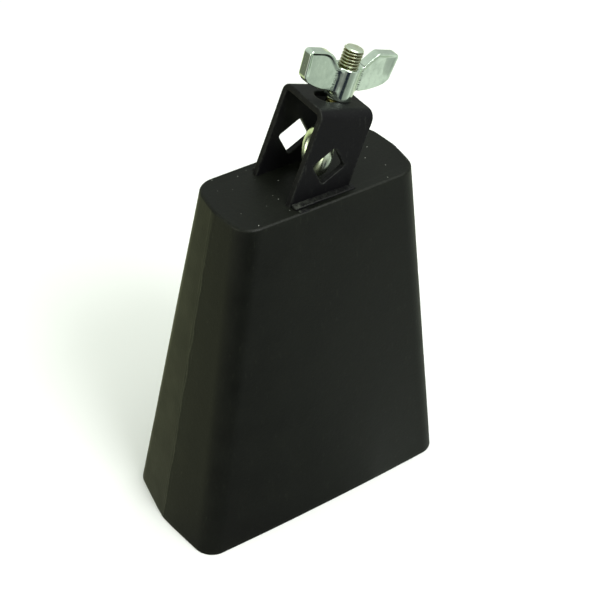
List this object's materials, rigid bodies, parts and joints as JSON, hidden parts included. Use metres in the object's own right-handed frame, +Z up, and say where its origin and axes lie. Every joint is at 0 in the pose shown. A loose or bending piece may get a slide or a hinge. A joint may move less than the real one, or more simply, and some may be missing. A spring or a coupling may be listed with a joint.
{
  "type": "cowbell",
  "caption": "Handheld or rod-mounted steel cowbell: a tapering welded body with a leaning strap bracket, eye bolt and wing nut.",
  "frame": {"origin": "centre of the mouth's plane, which the bell stands on", "axes": "+Z up from the mouth to the crown, +X along the wide face towards the side the bracket leans to, -Y the front"},
  "size_m": [0.1372, 0.0636, 0.2234],
  "materials": {
    "bell_coat": "fine-textured semi-matte black powder coat",
    "bracket_coat": "semi-gloss black coat",
    "eye_bolt_plating": "bright zinc plating, yellower in the thread",
    "nut_chrome": "bright chrome over a casting"
  },
  "bodies": {
    "bell": {"front_shell": "bell_coat", "rear_shell": "bell_coat", "crown_plate": "bell_coat", "left_seam_weld": "bell_coat", "right_seam_weld": "bell_coat", "crown_weld": "bell_coat", "mounting_bracket": "bracket_coat", "front_foot_weld": "bracket_coat", "rear_foot_weld": "bracket_coat"},
    "wing_nut": {"wing_nut": "nut_chrome"},
    "eye_bolt": {"eye_bolt": "eye_bolt_plating"}
  },
  "joints": [
    {"name": "wing_nut_turn", "type": "hinge", "parent": "bell", "child": "wing_nut", "pos_m": [0.0118, 0, 0.19842], "axis": [0.3206, 0, 0.9472], "range_deg": [-2880, 144]},
    {"name": "eye_bolt_lift", "type": "slide", "parent": "bell", "child": "eye_bolt", "axis": [0.3206, 0, 0.9472], "range_m": [-0.00055, 0.01005]}
  ],
  "couplings": [
    {"joint": "eye_bolt_lift", "follows": "wing_nut_turn", "m_per_rad": -0.00019894}
  ]
}
